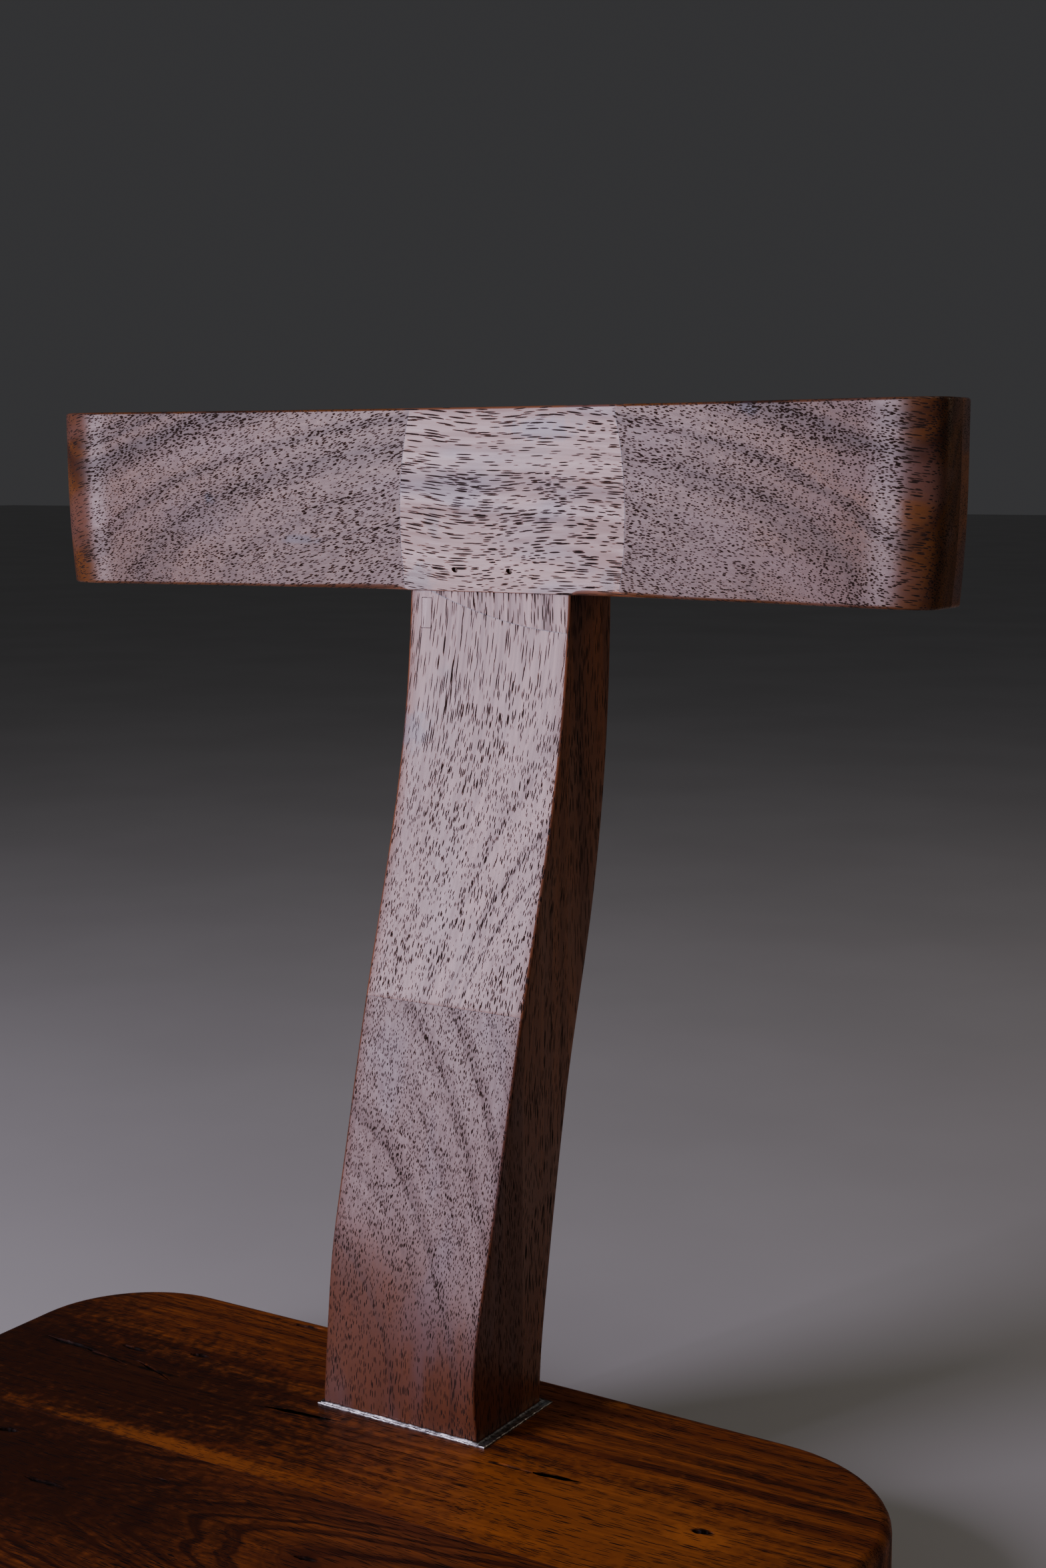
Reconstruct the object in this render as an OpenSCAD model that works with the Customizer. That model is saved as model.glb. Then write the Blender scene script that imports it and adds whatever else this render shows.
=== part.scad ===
// A T-shaped headrest: a curved crest rail on a leaning post, both cut from glued-up hardwood plies.
// The post's foot drops into a metal-lined socket in a thick board with round corners.
// Millimetres, +Z up. The origin is the centre of the board's underside, and the front faces -Y.

/* [Board] */
// Width of the board, left to right
board_w = 472; // [440:1:520]
// Depth of the board, front to back
board_d = 400; // [360:1:440]
// Thickness of the board
board_t = 42; // [38:1:60]
// Radius of the board's left corners in plan
board_left_r = 62; // [20:1:80]
// Radius of the board's right corners in plan
board_right_r = 76; // [20:1:80]
// Width of the rear plank, which carries the socket
rear_plank_w = 156; // [140:1:180]
// Width of the front plank
front_plank_w = 88; // [82:1:100]
// Wood between the post and the board's rear edge
rear_margin = 24; // [16:1:40]

/* [Post] */
// Height of the post from the board's top to the crest
post_h = 376; // [340:1:420]
// Width of the post at the board
post_w = 86; // [80:1:96]
// Width of the post under the crest
post_top_w = 89; // [80:1:96]
// Depth of the post at the board
post_d = 54; // [50:1:60]
// How far the front face has leant back by the top
front_lean = 79.3; // [79:0.1:80]
// How far the rear face has leant back by the top
rear_lean = 62.2; // [60:0.1:64]
// How deep the foot goes into the socket
foot_depth = 30; // [20:1:34]
// Distance of the first glue line from the foot's front face
front_glue_y = 38; // [34:1:44]
// Distance of the second glue line from the foot's front face
rear_glue_y = 78.6; // [78:0.1:79]
// Angle by which the second glue line runs out of square
post_glue_skew = -1.25; // [-2:0.05:0]

/* [Crest] */
// Height of the crest rail
crest_h = 85; // [70:1:100]
// Thickness of the crest rail, front to back
crest_t = 40; // [36:1:46]
// Length of the crest to the left of the post's middle
crest_left = 248; // [225:1:250]
// Length of the crest to the right of the post's middle
crest_right = 232; // [225:1:250]
// Radius of the hollow front face in plan
crest_front_r = 848; // [800:1:900]
// Distance of the hollow's deepest point behind the foot's front face
crest_y = 78; // [78:0.1:79]
// Radius of the left end's front corner in plan
left_nose_r = 26; // [10:1:28]
// Radius of the right end's front corner in plan
right_nose_r = 15; // [10:1:28]
// Radius of the rear corners in plan
crest_heel_r = 8; // [4:1:10]
// How far the ends tuck in at the bottom
crest_tuck = 2.8; // [1:0.1:4]
// Distance of the crest's glue line behind the foot's front face
crest_glue_y = 75.9; // [75.5:0.1:76.5]
// Angle by which the crest's glue line runs out of square
crest_glue_skew = -0.9; // [-1.2:0.05:0]

/* [Joint under the crest] */
// Width of the loose tenon
tenon_w = 56; // [50:1:60]
// Thickness of the loose tenon
tenon_t = 12; // [8:1:14]
// Length of the tenon in the post
tenon_down = 34; // [20:1:50]
// Length of the tenon in the crest
tenon_up = 58; // [30:1:70]
// Distance of the tenon's middle from the post's middle
tenon_x = -3; // [-8:0.5:8]
// Distance between the two brads
brad_spacing = 30; // [20:1:40]
// Diameter of a brad's shank
brad_d = 2; // [1.6:0.1:2.4]
// Diameter of a brad's head
brad_head_d = 3.2; // [2.8:0.1:4]
// Length of a brad
brad_l = 30; // [24:1:34]

/* [Socket] */
// Thickness of the liner's sheet metal
liner_wall = 1; // [0.8:0.1:2]
// Gap between the foot and the liner on each side
socket_gap = 0.3; // [0.3:0.1:0.6]
// How far the liner's lip stands above the board
lip_h = 1.6; // [1:0.1:3]
// Thickness of the liner's flange
flange_t = 0.8; // [0.6:0.1:1.2]
// Reach of the flange in front of the post
flange_front = 5.8; // [3:0.1:8]
// Reach of the flange to the right of the post
flange_right = 5.7; // [3:0.1:8]

/* [Hidden] */

curve_steps = 8;
wide_steps = 20;
nose_steps = 14;
heel_steps = 7;
tuck_steps = 6;
corner_steps = 18;
round_fn = 96;
far = 600;

walnut = [0.36, 0.20, 0.11];
walnut_dark = [0.27, 0.14, 0.08];
golden = [0.48, 0.27, 0.12];
golden_dark = [0.40, 0.21, 0.09];

// The foot's front face, from the board's centre
post_y = board_d / 2 - rear_margin - post_d;
// Centre of the hollow front face, from the foot's front face
hollow_y = crest_y - crest_front_r;
// The socket's floor is just under the foot
floor_gap = 0.3;
// How far a cutting block runs past the surface that it opens
overrun = 1;
// Where the ends' lower curve starts, above the crest's underside
tuck_h = 57;
tuck_r = (tuck_h * tuck_h + crest_tuck * crest_tuck) / (2 * crest_tuck);
// Middle of the tenon, from the foot's front face
tenon_y = crest_y + crest_t / 2;
brad_h = 10;
brad_sink = 1.3;
brad_head_t = 0.8;
// The hole goes on past the head, through the hollow face
hole_lead = 10;

// The patch is a narrow strip let into the post's front face, top left
patch_w = 5.2;
patch_h = 14;
patch_left = -37.4;
patch_drop = 3.5;
patch_depth = 3;

// Face curves of the post: share of its height, share of the lean, and slope
FRONT_CURVE = [
    [0, 0, -0.28], [0.106, 0.016, 0.66], [0.314, 0.25, 1.22], [0.497, 0.479, 1.35],
    [0.771, 0.85, 1.08], [0.918, 0.967, 0.5], [1, 1, 0.24]
];
REAR_CURVE = [
    [0, 0, 0.18], [0.106, 0.064, 1.03], [0.378, 0.378, 1.33], [0.62, 0.764, 1.33],
    [0.771, 0.921, 0.73], [0.904, 0.986, 0.27], [1, 1, 0.06]
];

// Cubic through two knots, where t runs from 0 to 1
function between(a, b, t) =
    (2 * t * t * t - 3 * t * t + 1) * a[1]
    + (t * t * t - 2 * t * t + t) * (b[0] - a[0]) * a[2]
    + (3 * t * t - 2 * t * t * t) * b[1]
    + (t * t * t - t * t) * (b[0] - a[0]) * b[2];

// Points of a face curve as [distance back, height]
function face_points(knots, start_y, lean) = [
    for (i = [0 : len(knots) - 2])
        for (s = [(i == 0 ? 0 : 1) : curve_steps])
            let (t = s / curve_steps)
            [
                start_y + lean * between(knots[i], knots[i + 1], t),
                post_h * (knots[i][0] + (knots[i + 1][0] - knots[i][0]) * t)
            ]
];

// Points along an arc, both ends included
function arc(centre, r, from, to, steps) = [
    for (s = [0 : steps])
        let (a = from + (to - from) * s / steps)
        centre + r * [cos(a), sin(a)]
];

function reversed(points) = [for (i = [len(points) - 1 : -1 : 0]) points[i]];

// Everything above the board is drawn from the foot's front face and the board's top
module on_board() {
    translate([0, post_y, board_t])
        children();
}

// The space behind a glue line that crosses the middle at glue_y
module behind(glue_y, skew) {
    translate([0, glue_y, 0])
        rotate([0, 0, skew])
            translate([-far, 0, -far])
                cube([2 * far, far, 2 * far]);
}

module in_front_of(glue_y, skew) {
    translate([0, glue_y, 0])
        rotate([0, 0, skew])
            translate([-far, -far, -far])
                cube([2 * far, far, 2 * far]);
}

// ---- Board ----

// A corner of the board, at the quarter turn that starts at this angle
function board_corner(side_x, side_y, r, from) =
    arc([side_x * (board_w / 2 - r), side_y * (board_d / 2 - r)], r, from, from + 90, corner_steps);

module board_plan() {
    polygon(concat(
        board_corner(1, 1, board_right_r, 0),
        board_corner(-1, 1, board_left_r, 90),
        board_corner(-1, -1, board_left_r, 180),
        board_corner(1, -1, board_right_r, 270)
    ));
}

// A plank of the board between two distances from its rear edge
module plank(from, to) {
    intersection() {
        linear_extrude(height = board_t)
            board_plan();
        translate([-board_w, board_d / 2 - to, -overrun])
            cube([2 * board_w, to - from, board_t + 2 * overrun]);
    }
}

module board_rear_plank() {
    color(golden)
        difference() {
            plank(0, rear_plank_w);
            on_board()
                foot_block(socket_gap + liner_wall, foot_depth + floor_gap, overrun);
        }
}

module board_middle_plank() {
    color(golden_dark)
        plank(rear_plank_w, board_d - front_plank_w);
}

module board_front_plank() {
    color(golden)
        plank(board_d - front_plank_w, board_d);
}

// ---- Socket ----

// The foot's outline grown by a margin, from a depth below the board's top to a height above it
module foot_block(margin, depth, height) {
    translate([-post_w / 2 - margin, -margin, -depth])
        cube([post_w + 2 * margin, post_d + 2 * margin, depth + height]);
}

// The flange lies on the board in front and to the right, and ends flush with the sleeve elsewhere
module flange() {
    sleeve = socket_gap + liner_wall;
    translate([-post_w / 2 - sleeve, -flange_front, 0])
        cube([
            post_w + sleeve + flange_right,
            post_d + flange_front + sleeve,
            flange_t
        ]);
}

module socket_liner() {
    color("silver")
        on_board()
            difference() {
                union() {
                    foot_block(socket_gap + liner_wall, foot_depth + floor_gap, lip_h);
                    flange();
                }
                foot_block(socket_gap, foot_depth + overrun, lip_h + overrun);
            }
}

// ---- Post ----

module post_side_view() {
    polygon(concat(
        [[0, -foot_depth]],
        face_points(FRONT_CURVE, 0, front_lean),
        reversed(face_points(REAR_CURVE, post_d, rear_lean)),
        [[post_d, -foot_depth]]
    ));
}

module post_front_view() {
    polygon([
        [-post_w / 2, -foot_depth], [-post_w / 2, 0], [-post_top_w / 2, post_h],
        [post_top_w / 2, post_h], [post_w / 2, 0], [post_w / 2, -foot_depth]
    ]);
}

module post_blank() {
    intersection() {
        rotate([90, 0, 90])
            linear_extrude(height = 2 * post_top_w, center = true)
                post_side_view();
        rotate([90, 0, 0])
            linear_extrude(height = 2 * far, center = true)
                post_front_view();
    }
}

module patch_space() {
    top_y = crest_y + patch_depth;
    translate([patch_left, top_y - far, post_h - patch_drop - patch_h])
        cube([patch_w, far, patch_h]);
}

module post_front_ply() {
    color(walnut_dark)
        on_board()
            intersection() {
                post_blank();
                in_front_of(front_glue_y, 0);
            }
}

module post_middle_ply() {
    color(walnut)
        on_board()
            difference() {
                intersection() {
                    post_blank();
                    behind(front_glue_y, 0);
                    in_front_of(rear_glue_y, post_glue_skew);
                }
                patch_space();
            }
}

module post_rear_ply() {
    color(walnut_dark)
        on_board()
            difference() {
                intersection() {
                    post_blank();
                    behind(rear_glue_y, post_glue_skew);
                }
                patch_space();
                tenon_block();
            }
}

module post_patch() {
    color(walnut)
        on_board()
            intersection() {
                post_blank();
                patch_space();
            }
}

// ---- Crest ----

// Half of the crest's plan, from the hollow's deepest point round the end to the rear face's middle
function half_plan(end_x, nose_r) =
    let (nose_x = end_x - nose_r, heel_x = end_x - crest_heel_r)
    let (nose_angle = acos(nose_x / (crest_front_r + nose_r)))
    let (heel_angle = acos(heel_x / (crest_front_r + crest_t - crest_heel_r)))
    concat(
        arc([0, hollow_y], crest_front_r, 90, nose_angle, wide_steps),
        arc(
            [nose_x, hollow_y + (crest_front_r + nose_r) * sin(nose_angle)],
            nose_r, nose_angle + 180, 360, nose_steps
        ),
        arc(
            [heel_x, hollow_y + (crest_front_r + crest_t - crest_heel_r) * sin(heel_angle)],
            crest_heel_r, 0, heel_angle, heel_steps
        ),
        arc([0, hollow_y], crest_front_r + crest_t, heel_angle, 90, wide_steps)
    );

module crest_plan() {
    right = half_plan(crest_right, right_nose_r);
    left = half_plan(crest_left, left_nose_r);
    polygon(concat(right, [for (p = reversed(left)) [-p[0], p[1]]]));
}

// An end of the crest seen from the front, top first: plumb, then tucked in towards the bottom
function end_points(end_x) = concat(
    [[end_x, crest_h]],
    [
        for (s = [0 : tuck_steps])
            let (drop = tuck_h * s / tuck_steps)
            [end_x - tuck_r + sqrt(tuck_r * tuck_r - drop * drop), tuck_h - drop]
    ]
);

module crest_front_view() {
    polygon(concat(
        end_points(crest_right),
        [for (p = reversed(end_points(crest_left))) [-p[0], p[1]]]
    ));
}

module crest_blank() {
    translate([0, 0, post_h])
        intersection() {
            linear_extrude(height = crest_h)
                crest_plan();
            rotate([90, 0, 0])
                linear_extrude(height = 2 * far, center = true)
                    crest_front_view();
        }
}

module crest_back_ply() {
    color(walnut_dark)
        on_board()
            difference() {
                intersection() {
                    crest_blank();
                    behind(crest_glue_y, crest_glue_skew);
                }
                tenon_block();
                brad_holes();
            }
}

// The front ply is cut right through by the hollow, which leaves a wing on each side
module crest_wing(side) {
    on_board()
        intersection() {
            crest_blank();
            in_front_of(crest_glue_y, crest_glue_skew);
            translate([side > 0 ? 0 : -far, -far, 0])
                cube([far, 2 * far, far]);
        }
}

module crest_left_wing() {
    color(walnut)
        crest_wing(-1);
}

module crest_right_wing() {
    color(walnut)
        crest_wing(1);
}

// ---- Joint between post and crest ----

module tenon_block() {
    translate([tenon_x - tenon_w / 2, tenon_y - tenon_t / 2, post_h - tenon_down])
        cube([tenon_w, tenon_t, tenon_down + tenon_up]);
}

// A brad lies along Y, with its head towards the front
module at_brads() {
    for (side = [-1, 1])
        translate([tenon_x + side * brad_spacing / 2, crest_y + brad_sink, post_h + brad_h])
            rotate([-90, 0, 0])
                children();
}

module brad_holes() {
    at_brads() {
        cylinder(d = brad_d, h = brad_l, $fn = round_fn);
        translate([0, 0, -hole_lead])
            cylinder(d = brad_head_d, h = hole_lead + brad_head_t, $fn = round_fn);
    }
}

module crest_tenon() {
    color(walnut)
        on_board()
            difference() {
                tenon_block();
                brad_holes();
            }
}

module tenon_brads() {
    color("dimgray")
        on_board()
            at_brads() {
                cylinder(d = brad_d, h = brad_l, $fn = round_fn);
                cylinder(d = brad_head_d, h = brad_head_t, $fn = round_fn);
            }
}

board_rear_plank();
board_middle_plank();
board_front_plank();
socket_liner();
post_front_ply();
post_middle_ply();
post_rear_ply();
post_patch();
crest_back_ply();
crest_left_wing();
crest_right_wing();
crest_tenon();
tenon_brads();
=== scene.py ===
"""Looks for the headrest: rounded meshes for its plies, planks and liner, their wood and metal,
and a studio. Lengths are in millimetres until a mesh is made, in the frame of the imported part."""

import math

import bmesh
import bpy
from mathutils import Matrix, Vector, noise


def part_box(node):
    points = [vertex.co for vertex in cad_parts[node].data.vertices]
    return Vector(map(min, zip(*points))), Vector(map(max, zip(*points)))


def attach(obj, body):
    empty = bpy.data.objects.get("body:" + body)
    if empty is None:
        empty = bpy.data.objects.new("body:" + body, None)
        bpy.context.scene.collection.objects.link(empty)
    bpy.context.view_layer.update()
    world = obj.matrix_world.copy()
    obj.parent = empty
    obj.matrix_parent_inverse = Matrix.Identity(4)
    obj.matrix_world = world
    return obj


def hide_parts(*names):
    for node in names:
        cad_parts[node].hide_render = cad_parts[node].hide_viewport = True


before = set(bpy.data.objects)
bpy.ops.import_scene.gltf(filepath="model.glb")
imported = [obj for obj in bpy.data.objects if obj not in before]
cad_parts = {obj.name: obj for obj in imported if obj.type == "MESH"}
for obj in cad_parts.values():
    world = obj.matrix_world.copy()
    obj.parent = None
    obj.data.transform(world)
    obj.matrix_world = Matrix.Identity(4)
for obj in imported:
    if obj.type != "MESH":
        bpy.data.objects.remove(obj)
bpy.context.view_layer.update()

MM = 0.001


def box_mm(node):
    """Lowest and highest corner of a CAD node, in millimetres."""
    low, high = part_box(node)
    return low / MM, high / MM


# ---- Sizes that the frame gives ----
REAR_PLANK_LOW, REAR_PLANK_HIGH = box_mm("board_rear_plank")
FRONT_PLANK_LOW, FRONT_PLANK_HIGH = box_mm("board_front_plank")
CREST_LOW, CREST_HIGH = box_mm("crest_back_ply")
TENON_LOW, TENON_HIGH = box_mm("crest_tenon")
BRADS_LOW, BRADS_HIGH = box_mm("tenon_brads")
BOARD_TOP = REAR_PLANK_HIGH.z
POST_TOP = CREST_LOW.z
FOOT_BOTTOM = box_mm("post_front_ply")[0].z
FRONT_GLUE_Y = box_mm("post_front_ply")[1].y

# ---- Sizes that repeat the part's own ----
FOOT_Y = 122
POST_W, POST_TOP_W, POST_D = 86, 89, 54
POST_H = POST_TOP - BOARD_TOP
FRONT_LEAN, REAR_LEAN = 79.3, 62.2
REAR_GLUE_Y, POST_GLUE_SKEW = FOOT_Y + 78.6, -1.25
CREST_GLUE_Y, CREST_GLUE_SKEW = FOOT_Y + 75.9, -0.9
HOLLOW_R, CREST_T, CREST_Y = 848, 40, FOOT_Y + 78
TUCK, TUCK_H = 2.8, 57
LEFT_CORNER_R, RIGHT_CORNER_R = 62, 76
SLEEVE_GAP, SLEEVE = 0.3, 1.3
FLANGE_RIGHT = 5.7
BRAD_R = 1.6
PATCH_LEFT, PATCH_W, PATCH_H, PATCH_DROP, PATCH_DEPTH = -37.4, 5.2, 14, 3.5, 3

# Face curves of the post: share of its height, share of the lean, and slope
FRONT_CURVE = (
    (0, 0, -0.28), (0.106, 0.016, 0.66), (0.314, 0.25, 1.22), (0.497, 0.479, 1.35),
    (0.771, 0.85, 1.08), (0.918, 0.967, 0.5), (1, 1, 0.24),
)
REAR_CURVE = (
    (0, 0, 0.18), (0.106, 0.064, 1.03), (0.378, 0.378, 1.33), (0.62, 0.764, 1.33),
    (0.771, 0.921, 0.73), (0.904, 0.986, 0.27), (1, 1, 0.06),
)

# ---- Sizes of the finished surfaces only ----
ARRIS_STEPS = 5
HOLD = 0.25
CREST_ARRIS = 1.3
INNER_ARRIS = 2.4
JOINT_ARRIS = 0.25
CUP_EDGE, CUP_DEEPEST = -0.28, 0.03
POST_ARRIS, FOOT_ARRIS, POST_TOP_ARRIS = 1.4, 1.0, 0.05
BOARD_ARRIS, BOARD_LOW_ARRIS = 5, 3
PATCH_GAP = 0.28
CUT_OVERSHOOT = 5


# ---- Small helpers ----

def smooth(low, high, value):
    """0 at low, 1 at high, and a soft step between."""
    t = min(1.0, max(0.0, (value - low) / (high - low)))
    return t * t * (3 - 2 * t)


def face_curve(knots, share):
    """Value at a share of the height on a curve through knots with slopes."""
    share = min(1.0, max(0.0, share))
    for a, b in zip(knots, knots[1:]):
        if share <= b[0]:
            break
    h = b[0] - a[0]
    t = (share - a[0]) / h
    return (
        (2 * t ** 3 - 3 * t ** 2 + 1) * a[1]
        + (t ** 3 - 2 * t ** 2 + t) * h * a[2]
        + (3 * t ** 2 - 2 * t ** 3) * b[1]
        + (t ** 3 - t ** 2) * h * b[2]
    )


def spread(low, high, steps):
    """Evenly spaced values from low to high, both included."""
    return [low + (high - low) * i / steps for i in range(steps + 1)]


def new_object(name, bm):
    """An object in the scene from a bmesh in millimetres, with its faces turned outward."""
    bmesh.ops.recalc_face_normals(bm, faces=bm.faces)
    bmesh.ops.scale(bm, vec=(MM, MM, MM), verts=bm.verts)
    mesh = bpy.data.meshes.new(name)
    bm.to_mesh(mesh)
    bm.free()
    made = bpy.data.objects.new(name, mesh)
    bpy.context.scene.collection.objects.link(made)
    return made


def soften(piece, limit=35):
    """Smooth faces, with sharp edges where two faces meet at more than the limit in degrees."""
    bm = bmesh.new()
    bm.from_mesh(piece.data)
    for face in bm.faces:
        face.smooth = True
    for edge in bm.edges:
        angle = edge.calc_face_angle(math.pi)
        edge.smooth = angle < math.radians(limit)
    bm.to_mesh(piece.data)
    bm.free()


def close_plan(front, rear, across):
    """A closed plan: the front row, up the right end, the rear row and down the left end."""
    shares = spread(0, 1, across + 1)[1:-1]
    right = [front[-1].lerp(rear[0], t) for t in shares]
    left = [rear[-1].lerp(front[0], t) for t in shares]
    return front + right + rear + left


def add_quads(bm, rows):
    """Faces between neighbouring rows of vertices."""
    for a, b in zip(rows, rows[1:]):
        for i in range(len(a) - 1):
            bm.faces.new((a[i], a[i + 1], b[i + 1], b[i]))


def add_cap(bm, ring, along, across):
    """Closes a ring with a grid. The ring runs as in close_plan."""
    front = ring[:along + 1]
    right = ring[along + 1:along + 1 + across]
    rear = ring[along + 1 + across:2 * along + 2 + across][::-1]
    left = ring[2 * along + 2 + across:][::-1]
    rows = [[front[0], *left, rear[0]]]
    for i in range(1, along):
        inner = [front[i].co.lerp(rear[i].co, j / (across + 1)) for j in range(1, across + 1)]
        rows.append([front[i], *[bm.verts.new(p) for p in inner], rear[i]])
    rows.append([front[along], *right, rear[along]])
    add_quads(bm, rows)


def loft(rings, along, across):
    """A closed solid through rings of points, from the bottom up."""
    bm = bmesh.new()
    levels = [[bm.verts.new(p) for p in ring] for ring in rings]
    add_quads(bm, [[*level, level[0]] for level in levels])
    add_cap(bm, levels[0], along, across)
    add_cap(bm, levels[-1], along, across)
    return bm


def inward(plan):
    """The inward direction at each point of a closed plan that runs anticlockwise."""
    count = len(plan)
    found = []
    for i in range(count):
        before, here, after = plan[i - 1], plan[i], plan[(i + 1) % count]
        step = (here - before).normalized() + (after - here).normalized()
        found.append(Vector((-step.y, step.x)).normalized())
    return found


def rounded_levels(plan_at, low, high, low_arris, high_arris, side_steps):
    """Rings of a solid with rounded arrises. plan_at gives the plan at a height, and each
    arris function gives the radius at a point."""
    rings = []

    def ring(level, share_in, share_up, from_low):
        plan = plan_at(level)
        arris = low_arris if from_low else high_arris
        made = []
        for point, turn in zip(plan, inward(plan)):
            r = arris(point)
            shifted = point + turn * (r * share_in + (HOLD if share_up < 0 else 0))
            lift = r * max(0, share_up)
            made.append((shifted.x, shifted.y, level + (lift if from_low else -lift)))
        rings.append(made)

    angles = [math.radians(a) for a in spread(0, 90, ARRIS_STEPS)]
    ring(low, 1, -1, True)
    for a in angles:
        ring(low, 1 - math.sin(a), 1 - math.cos(a), True)
    for t in spread(0, 1, side_steps):
        plan = plan_at(low + (high - low) * t)
        made = []
        for point in plan:
            bottom = low + low_arris(point) + HOLD
            top = high - high_arris(point) - HOLD
            made.append((point.x, point.y, bottom + (top - bottom) * t))
        rings.append(made)
    for a in reversed(angles):
        ring(high, 1 - math.sin(a), 1 - math.cos(a), False)
    ring(high, 1, -1, False)
    return rings


def block(low, high):
    """A box between two corners, as a bmesh."""
    bm = bmesh.new()
    bmesh.ops.create_cube(bm, size=1)
    low, high = Vector(low), Vector(high)
    for v in bm.verts:
        v.co = (low + high) / 2 + Vector(a * b for a, b in zip(v.co, high - low))
    return bm


def carve(piece, cutters, operation="DIFFERENCE"):
    """Cuts the pieces of a bmesh out of a piece, or keeps only what they share."""
    tool = new_object("cutter", cutters)
    modifier = piece.modifiers.new("carve", "BOOLEAN")
    modifier.object = tool
    modifier.operation = operation
    modifier.solver = "EXACT"
    graph = bpy.context.evaluated_depsgraph_get()
    mesh = bpy.data.meshes.new_from_object(piece.evaluated_get(graph))
    piece.modifiers.clear()
    piece.data = mesh
    bpy.data.objects.remove(tool)


def slice_piece(source, name, planes):
    """A copy of source that keeps what lies behind every plane, given as point and normal."""
    bm = bmesh.new()
    bm.from_mesh(source.data)
    for point, normal in planes:
        bmesh.ops.bisect_plane(
            bm, geom=[*bm.verts, *bm.edges, *bm.faces], dist=1e-7,
            plane_co=Vector(point) * MM, plane_no=normal, clear_outer=True,
        )
        open_edges = [e for e in bm.edges if e.is_boundary]
        bmesh.ops.holes_fill(bm, edges=open_edges, sides=0)
    bmesh.ops.scale(bm, vec=(1 / MM,) * 3, verts=bm.verts)
    return new_object(name, bm)


def skewed(skew):
    """The direction square to a glue line that runs out of square by an angle in degrees."""
    return Vector((-math.sin(math.radians(skew)), math.cos(math.radians(skew)), 0))


# ---- Crest ----

CREST_ALONG_HOLLOW, CREST_NOSE_STEPS, CREST_ACROSS, CREST_SIDE_STEPS = 52, 22, 6, 24
HOLLOW_CENTRE_Y = CREST_Y - HOLLOW_R
# The hollow face is also dished in height, round a line below its middle, and not at its ends
CUP_BELOW_MIDDLE, CUP_HALF_HEIGHT, CUP_FADE = 8, 42, (190, 225)
# Distances from the post over which the lower arris grows full and then eases
ARRIS_GROWS, ARRIS_EASES = (0, 6), (20, 70)
# Each end in plan: lengths of the front corner's two legs, how square it is, and the rear corner
RIGHT_END = {"lead": 34, "turn": 16, "grip": (0.76, 0.52), "heel": 8}
LEFT_END = {"lead": 37.5, "turn": 31.5, "grip": (0.70, 0.425), "heel": 8}
HEEL_GRIP = (0.55, 0.55)


def bezier(a, b, c, d, t):
    """The point at a share t of a cubic curve from a to d, pulled towards b and c."""
    return a * (1 - t) ** 3 + b * 3 * t * (1 - t) ** 2 + c * 3 * t * t * (1 - t) + d * t ** 3


def rail_side(radius, end_x, lead, turn, grip, towards_rear):
    """Half of a curved face from the middle, with its corner at the end, as points for x >= 0."""
    def on_arc(x):
        return Vector((x, HOLLOW_CENTRE_Y + math.sqrt(radius ** 2 - x ** 2)))

    start_x = end_x - lead
    points = [on_arc(x) for x in spread(0, start_x, CREST_ALONG_HOLLOW)]
    start = points[-1]
    slope = -start_x / math.sqrt(radius ** 2 - start_x ** 2)
    corner = start + Vector((lead, slope * lead))
    stop = corner + Vector((0, turn if towards_rear else -turn))
    first, second = start.lerp(corner, grip[0]), stop.lerp(corner, grip[1])
    for t in spread(0, 1, CREST_NOSE_STEPS)[1:]:
        points.append(bezier(start, first, second, stop, t))
    return points


def crest_plan(z):
    """The crest's plan at a height, anticlockwise from the left end of the hollow face."""
    share = (z - POST_TOP - TUCK_H) / TUCK_H
    tuck = TUCK * min(0, share) ** 2
    halves = {}
    for side, end, reach in ((1, RIGHT_END, CREST_HIGH.x), (-1, LEFT_END, -CREST_LOW.x)):
        end_x = reach - tuck
        front = rail_side(HOLLOW_R, end_x, end["lead"], end["turn"], end["grip"], True)
        heel = end["heel"]
        rear = rail_side(HOLLOW_R + CREST_T, end_x, heel, heel, HEEL_GRIP, False)
        halves[side] = [[Vector((side * p.x, p.y)) for p in half] for half in (front, rear)]
    middle = (CREST_HIGH.z + POST_TOP) / 2 - CUP_BELOW_MIDDLE
    cup = CUP_DEEPEST + CUP_EDGE * ((z - middle) / CUP_HALF_HEIGHT) ** 2
    front = halves[-1][0][:0:-1] + halves[1][0]
    front = [p + Vector((0, cup * (1 - smooth(*CUP_FADE, abs(p.x))))) for p in front]
    rear = halves[1][1][::-1] + halves[-1][1][1:]
    return close_plan(front, rear, CREST_ACROSS)


def crest_low_arris(point):
    """The lower arris is tight where the post meets it and full just beside the post."""
    away = abs(point.x) - POST_TOP_W / 2
    beside = JOINT_ARRIS + (INNER_ARRIS - JOINT_ARRIS) * smooth(*ARRIS_GROWS, away)
    return beside + (CREST_ARRIS - INNER_ARRIS) * smooth(*ARRIS_EASES, away)


def crest_high_arris(point):
    """The upper arris is the same all round."""
    return CREST_ARRIS


def make_crest():
    """The whole crest, before its glue line divides it."""
    rings = rounded_levels(
        crest_plan, POST_TOP, CREST_HIGH.z, crest_low_arris, crest_high_arris, CREST_SIDE_STEPS
    )
    along = 2 * (CREST_ALONG_HOLLOW + CREST_NOSE_STEPS)
    return new_object("crest", loft(rings, along, CREST_ACROSS))


# A brad's hole: half axes, tilt in degrees, length, how far past the brad's end it runs, facets
HOLE_RADII, HOLE_TILT, HOLE_LENGTH, HOLE_OVERLAP, HOLE_STEPS = (1.8, 1.15), 24, 9, 0.8, 20


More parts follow.
